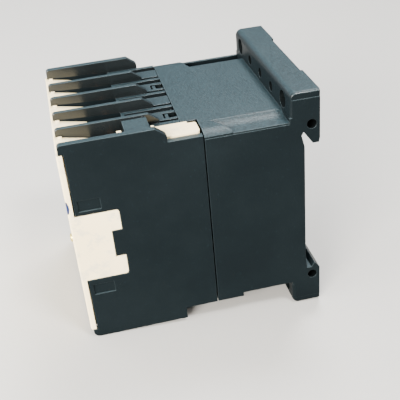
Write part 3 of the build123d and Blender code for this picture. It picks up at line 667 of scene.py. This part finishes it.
def grown(pieceName, tree, values, material):
    host = linked(pieceName + "Host", bpy.data.meshes.new(pieceName + "Host"))
    modifier = host.modifiers.new("grow", "NODES")
    modifier.node_group = tree
    sockets = {s.name: s for s in tree.interface.items_tree if s.item_type == "SOCKET"}
    for label, value in {**values, "Finish": finish[material]}.items():
        modifier[sockets[label].identifier] = value
    mesh = evaluatedMesh(host)
    host.modifiers.clear()
    bpy.data.objects.remove(host)
    working = bmesh.new()
    working.from_mesh(mesh)
    bmesh.ops.remove_doubles(working, verts=working.verts, dist=meshCare["grownWeld"] * mm)
    bmesh.ops.recalc_face_normals(working, faces=working.faces)
    working.to_mesh(mesh)
    working.free()
    piece = newPiece(pieceName, mesh, [material])
    sharpened(mesh)
    return piece


def turned(name, profile, steps):
    # A closed profile of (radius, y) pairs in millimetres, turned about the Y axis
    working = bmesh.new()
    rings = []
    for radius, y in profile:
        if radius == 0:
            rings.append([working.verts.new((0, y * mm, 0))])
            continue
        ring = []
        for step in range(steps):
            angle = 2 * math.pi * step / steps
            x, z = radius * mm * math.cos(angle), radius * mm * math.sin(angle)
            ring.append(working.verts.new((x, y * mm, z)))
        rings.append(ring)
    for first, second in zip(rings, rings[1:]):
        for step in range(steps):
            after = (step + 1) % steps
            if len(first) == 1:
                working.faces.new((first[0], second[step], second[after]))
            elif len(second) == 1:
                working.faces.new((first[step], second[0], first[after]))
            else:
                working.faces.new((first[step], second[step], second[after], first[after]))
    bmesh.ops.recalc_face_normals(working, faces=working.faces)
    mesh = bpy.data.meshes.new(name)
    working.to_mesh(mesh)
    working.free()
    return mesh


def blockMesh(name, low, high):
    mesh = bpy.data.meshes.new(name)
    working = bmesh.new()
    bmesh.ops.create_cube(working, size=1.0)
    size = Vector(high) - Vector(low)
    middle = (Vector(high) + Vector(low)) / 2
    for vertex in working.verts:
        vertex.co = Vector(vertex.co[k] * size[k] * mm + middle[k] * mm for k in range(3))
    working.to_mesh(mesh)
    working.free()
    return mesh


def carved(mesh, cutters):
    # The mesh with each cutter taken out of it
    target = linked("carveTarget", mesh)
    tools = []
    for cutter in cutters:
        tool = linked("carveTool", cutter)
        step = target.modifiers.new("carve", "BOOLEAN")
        step.operation = "DIFFERENCE"
        step.solver = "EXACT"
        step.object = tool
        tools.append(tool)
    result = evaluatedMesh(target)
    for extra in [target] + tools:
        bpy.data.objects.remove(extra)
    return result


def rowsTree(name):
    # Copies of one pattern in two mirrored rows of columns, each turned by a random angle
    tree, entry, leave = newTree(name, [
        ("Pattern", "Object"), ("Columns", "Int"), ("Pitch", "Float"), ("Rise", "Float"),
        ("Middle Height", "Float"), ("Turn Range", "Float"), ("Seed", "Int"), ("Finish", "Material"),
    ])
    given = entry.outputs
    add = tree.nodes.new
    link = tree.links.new
    info = add("GeometryNodeObjectInfo")
    link(given["Pattern"], info.inputs["Object"])
    join = add("GeometryNodeJoinGeometry")
    for side in (1.0, -1.0):
        height = worked(tree, "MULTIPLY_ADD", given["Rise"], side, given["Middle Height"])
        half = worked(tree, "MULTIPLY_ADD", given["Columns"], -0.5, 0.5)  # minus half of the steps
        startPoint = add("ShaderNodeCombineXYZ")
        link(worked(tree, "MULTIPLY", half, given["Pitch"]), startPoint.inputs["X"])
        link(height, startPoint.inputs["Z"])
        stepVector = add("ShaderNodeCombineXYZ")
        link(given["Pitch"], stepVector.inputs["X"])
        line = add("GeometryNodeMeshLine")
        link(given["Columns"], line.inputs["Count"])
        link(startPoint.outputs[0], line.inputs["Start Location"])
        link(stepVector.outputs[0], line.inputs["Offset"])
        link(line.outputs["Mesh"], join.inputs["Geometry"])
    place = add("GeometryNodeInstanceOnPoints")
    link(join.outputs["Geometry"], place.inputs["Points"])
    link(info.outputs["Geometry"], place.inputs["Instance"])
    turn = add("FunctionNodeRandomValue")
    turn.data_type = "FLOAT"
    lowest, highest = [s for s in turn.inputs if s.enabled][:2]
    link(worked(tree, "MULTIPLY", given["Turn Range"], -1.0), lowest)
    link(given["Turn Range"], highest)
    link(given["Seed"], turn.inputs["Seed"])
    angles = add("ShaderNodeCombineXYZ")
    link([s for s in turn.outputs if s.enabled][0], angles.inputs["Y"])
    link(angles.outputs[0], place.inputs["Rotation"])
    finished(tree, entry, leave, place.outputs["Instances"])
    return tree


def inRows(pieceName, treeName, patternName, mesh, turn, seed, material):
    pattern = linked(patternName, mesh)
    piece = grown(pieceName, rowsTree(treeName), {
        "Pattern": pattern, "Columns": body["columns"], "Pitch": body["pitch"] * mm,
        "Rise": body["rowRise"] * mm, "Middle Height": body["midZ"] * mm,
        "Turn Range": turn, "Seed": seed,
    }, material)
    bpy.data.objects.remove(pattern)
    return piece


# Terminal screws: slotted cross-recess heads on threaded shanks, in millimetres behind the front
screwLook = {
    "headRadius": 2.8, "headFace": 5.8, "headBack": 8.0, "edge": 0.4, "edgeSteps": 3, "backEdge": 0.1,
    "shankRadius": 1.7, "shankEnd": 15.2, "plainShank": 0.9, "endEdge": 0.35,
    "threadPitch": 0.7, "threadDepth": 0.26, "threadEnd": 0.5, "threadShape": (0.35, 0.5, 0.85),
    "slotReach": 3.5, "slotHalf": 0.4, "slotDepth": 0.9, "crossReach": 1.5, "crossHalf": 0.45,
    "crossDepth": 1.3, "overcut": 1.0, "steps": 40, "turn": 1.2, "seed": 7,
}


def screwPattern(look):
    face = look["headFace"] + body["frontY"]
    back = look["headBack"] + body["frontY"]
    end = look["shankEnd"] + body["frontY"]
    head, edge, shank = look["headRadius"], look["edge"], look["shankRadius"]
    profile = [(0.0, face), (head - edge, face)]
    for step in range(1, look["edgeSteps"] + 1):
        angle = math.pi / 2 * step / look["edgeSteps"]
        profile.append((head - edge * (1 - math.sin(angle)), face + edge * (1 - math.cos(angle))))
    profile += [(head, back - look["backEdge"]), (head - look["backEdge"], back), (shank, back)]
    y = back + look["plainShank"]
    profile.append((shank, y))
    pitch, root = look["threadPitch"], shank - look["threadDepth"]
    down, across, up = look["threadShape"]
    while y + pitch < end - look["threadEnd"]:
        profile += [(root, y + pitch * down), (root, y + pitch * across)]
        profile += [(shank, y + pitch * up), (shank, y + pitch)]
        y += pitch
    profile += [(shank - look["endEdge"], end), (0.0, end)]
    cutters = []
    for name, acrossX, acrossZ, depth in (
        ("slotCutter", look["slotReach"], look["slotHalf"], look["slotDepth"]),
        ("crossCutter", look["crossHalf"], look["crossReach"], look["crossDepth"]),
    ):
        low, high = (-acrossX, face - look["overcut"], -acrossZ), (acrossX, face + depth, acrossZ)
        cutters.append(blockMesh(name, low, high))
    return carved(turned("screwTurned", profile, look["steps"]), cutters)


screws = inRows("terminalScrewSet", "terminalScrewRows", "screwPattern", screwPattern(screwLook),
                screwLook["turn"], screwLook["seed"], "zincPlate")
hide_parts("terminal_screws")
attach(screws, bodyOf("terminal_screws"))

# Clamp washers: square, with rounded corners and pressed gripping ribs, also behind the front
washerLook = {
    "half": 3.3, "front": 8.0, "thick": 0.9, "corner": 0.8, "cornerSteps": 4, "hole": 1.8,
    "rib": 0.16, "ribs": 5, "ribStep": 1.15, "ribHalf": 0.25, "ribSlope": 0.1, "ribSunk": 0.05,
    "overcut": 1.0, "steps": 32, "turn": 0.0, "seed": 1,
}


def washerPattern(look):
    half, low = look["half"], look["front"] + body["frontY"]
    high = low + look["thick"] - look["rib"]
    mesh = blockMesh("washerBlank", (-half, low, -half), (half, high, half))
    working = bmesh.new()
    working.from_mesh(mesh)
    longEnough = look["thick"] / 2 * mm
    upright = [e for e in working.edges if abs(e.verts[0].co.y - e.verts[1].co.y) > longEnough]
    bmesh.ops.bevel(working, geom=upright, offset=look["corner"] * mm, segments=look["cornerSteps"],
                    affect="EDGES", profile=0.5)
    reach, foot = half - look["corner"], high - look["ribSunk"]
    crestReach, crestY = reach - look["ribSlope"], high + look["rib"]
    for k in range(look["ribs"]):
        z = (k - (look["ribs"] - 1) / 2) * look["ribStep"]
        below, above = z - look["ribHalf"], z + look["ribHalf"]
        corners = [
            (-reach, foot, below), (reach, foot, below), (reach, foot, above), (-reach, foot, above),
        ]
        crest = [(-crestReach, crestY, z), (crestReach, crestY, z)]
        base = [working.verts.new(Vector(c) * mm) for c in corners]
        top = [working.verts.new(Vector(c) * mm) for c in crest]
        working.faces.new((base[0], base[1], top[1], top[0]))
        working.faces.new((base[2], base[3], top[0], top[1]))
        working.faces.new((base[1], base[2], top[1]))
        working.faces.new((base[3], base[0], top[0]))
        working.faces.new(base)
    bmesh.ops.recalc_face_normals(working, faces=working.faces)
    working.to_mesh(mesh)
    working.free()
    start, end, hole = low - look["overcut"], high + look["overcut"], look["hole"]
    bore = turned("boreCutter", [(0.0, start), (hole, start), (hole, end), (0.0, end)], look["steps"])
    return carved(mesh, [bore])


washers = inRows("clampWasherSet", "clampWasherRows", "washerPattern", washerPattern(washerLook),
                 washerLook["turn"], washerLook["seed"], "zincPlate")
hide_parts("clamp_washers")
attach(washers, bodyOf("clamp_washers"))
print("stage: screws and washers")

# Springs: wire swept along a spiral, in millimetres, with y, y0 and y1 counted from the front
springs = {
    "contactSpring": {"radius": 1.7, "wire": 0.22, "turns": 3.5, "y0": 9.6, "y1": 14.2, "travel": 1.2},
    "returnSpring": {
        "radius": 1.9, "wire": 0.25, "turns": 5.0, "y0": 26.25, "y1": 36.6, "x": 11.2, "travel": 3.9,
    },
    "latchSpring": {
        "radius": 0.7, "wire": 0.18, "turns": 5.0, "z0": 4.2, "z1": 8.6, "y": 55.35, "travel": 2.5,
    },
}
coilSteps = {"turn": 28, "wire": 10}


def springTree():
    tree, entry, leave = newTree("springCoil", [
        ("Coil Radius", "Float"), ("Wire Radius", "Float"), ("Turns", "Float"), ("Length", "Float"),
        ("Finish", "Material"),
    ])
    add = tree.nodes.new
    link = tree.links.new
    spiral = add("GeometryNodeCurveSpiral")
    spiral.inputs["Resolution"].default_value = coilSteps["turn"]
    link(entry.outputs["Turns"], spiral.inputs["Rotations"])
    link(entry.outputs["Coil Radius"], spiral.inputs["Start Radius"])
    link(entry.outputs["Coil Radius"], spiral.inputs["End Radius"])
    link(entry.outputs["Length"], spiral.inputs["Height"])
    ring = add("GeometryNodeCurvePrimitiveCircle")
    ring.inputs["Resolution"].default_value = coilSteps["wire"]
    link(entry.outputs["Wire Radius"], ring.inputs["Radius"])
    tube = add("GeometryNodeCurveToMesh")
    tube.inputs["Fill Caps"].default_value = True
    link(spiral.outputs["Curve"], tube.inputs["Curve"])
    link(ring.outputs["Curve"], tube.inputs["Profile Curve"])
    finished(tree, entry, leave, tube.outputs["Mesh"])
    return tree


coilTree = springTree()


def coiled(name, look, length, place):
    coil = grown(name, coilTree, {
        "Coil Radius": look["radius"] * mm, "Wire Radius": look["wire"] * mm, "Turns": look["turns"],
        "Length": (length - 2 * look["wire"]) * mm,
    }, "springWire")
    coil.data.transform(place)
    coil.data.update()
    return coil


towardBack = Matrix.Rotation(math.radians(-90), 4, "X")
look = springs["contactSpring"]
length = look["y1"] - look["y0"]
for k, x in enumerate(columnX[:body["poles"]]):
    start = Vector((x, look["y0"] + body["frontY"] + look["wire"], body["midZ"])) * mm
    coil = coiled("contactCoil" + str(k + 1), look, length, Matrix.Translation(start) @ towardBack)
    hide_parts("contact_spring_" + str(k + 1))
    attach(coil, "carrier")
    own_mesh(coil)

look = springs["returnSpring"]
length = look["y1"] - look["y0"]
for side, sideName in ((-1, "Left"), (1, "Right")):
    x = side * look["x"]
    start = Vector((x, look["y0"] + body["frontY"] + look["wire"], body["midZ"])) * mm
    coil = coiled("returnCoil" + sideName, look, length, Matrix.Translation(start) @ towardBack)
    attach(coil, "contactor_body")
    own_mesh(coil)
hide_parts("return_springs")

look = springs["latchSpring"]
length = look["z1"] - look["z0"]
start = Vector((0, look["y"] + body["frontY"], look["z0"] + look["wire"])) * mm
coil = coiled("latchCoil", look, length, Matrix.Translation(start))
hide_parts("latch_spring")
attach(coil, "contactor_body")
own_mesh(coil)
print("stage: springs")

# A pale floor, tilted as the flange and the front fins stand on it, and a soft room's light
stage = {
    "floorColour": (0.42, 0.415, 0.40), "fibreShade": 0.96, "fibreScale": 700.0,
    "fibreNoise": (3.0, 0.5), "roughness": 0.85, "floorHalf": 2.2, "slope": -0.05545,
    "touchY": 23.9, "touchZ": -0.03, "sky": (0.80, 0.84, 0.90), "skyStrength": 0.30,
}
floorMesh = bpy.data.meshes.new("paleFloor")
half = stage["floorHalf"]
corners = []
for x, y in ((-half, -half), (half, -half), (half, half), (-half, half)):
    z = stage["touchZ"] * mm + stage["slope"] * (y - stage["touchY"] * mm)
    corners.append((x, y, z))
floorMesh.from_pydata(corners, [], [(0, 1, 2, 3)])
floor = linked("paleFloor", floorMesh)
floorFinish, tree, shader, where = startMaterial("floorPaper")
paper = noiseOf(tree, where, stage["fibreScale"], *stage["fibreNoise"])
fibreColour = tuple(c * stage["fibreShade"] for c in stage["floorColour"])
tree.links.new(mixed(tree, paper, stage["floorColour"], fibreColour), shader.inputs["Base Color"])
shader.inputs["Roughness"].default_value = stage["roughness"]
floorMesh.materials.append(floorFinish)

world = bpy.data.worlds.new("softRoom")
bpy.context.scene.world = world
world.use_nodes = True
background = world.node_tree.nodes["Background"]
background.inputs["Color"].default_value = (*stage["sky"], 1.0)
background.inputs["Strength"].default_value = stage["skyStrength"]

lights = {
    "windowSoft": {"at": (-0.36, -0.38, 0.30), "size": 0.50, "power": 3.0, "colour": (0.93, 0.97, 1.0)},
    "ceilingSoft": {"at": (-0.27, 0.15, 0.58), "size": 0.22, "power": 8.5, "colour": (1.0, 0.99, 0.98)},
    "rimSoft": {"at": (0.26, 0.16, 0.55), "size": 0.12, "power": 5.0, "colour": (1.0, 0.99, 0.97)},
    "frontFill": {"at": (0.10, -0.55, 0.34), "size": 0.40, "power": 8.0, "colour": (1.0, 0.98, 0.95)},
    "sideKey": {"at": (0.50, -0.36, 0.26), "size": 0.30, "power": 23.0, "colour": (1.0, 0.95, 0.87)},
}
lightsAim = Vector((0.0, 0.0, 0.03))
for name, light in lights.items():
    data = bpy.data.lights.new(name, "AREA")
    data.shape = "SQUARE"
    data.size = light["size"]
    data.energy = light["power"]
    data.color = light["colour"]
    lamp = linked(name, data)
    lamp.location = light["at"]
    lamp.rotation_mode = "QUATERNION"
    lamp.rotation_quaternion = (lightsAim - Vector(light["at"])).to_track_quat("-Z", "Y")

# Camera: the photo's own place, aim, roll and focal length, which is given in pixels of its width
photoView = {
    "at": (0.164586, -0.024005, 0.125529), "aim": (0.028183, -0.0002, 0.039454), "roll": -0.09542,
    "focal": 753.133, "width": 400, "sensor": 36, "near": 0.005, "far": 20,
}
cameraData = bpy.data.cameras.new("photoCamera")
cameraData.sensor_width = photoView["sensor"]
cameraData.lens = photoView["focal"] / photoView["width"] * photoView["sensor"]
cameraData.clip_start = photoView["near"]
cameraData.clip_end = photoView["far"]
camera = linked("photoCamera", cameraData)
ahead = (Vector(photoView["aim"]) - Vector(photoView["at"])).normalized()
level = ahead.cross(Vector((0, 0, 1))).normalized()
steep = level.cross(ahead)
cosine, sine = math.cos(photoView["roll"]), math.sin(photoView["roll"])
right = level * cosine + steep * sine
up = steep * cosine - level * sine
turn = Matrix((right, up, -ahead)).transposed().to_4x4()
camera.matrix_world = Matrix.Translation(Vector(photoView["at"])) @ turn
bpy.context.scene.camera = camera
print("stage: floor, lights and camera")
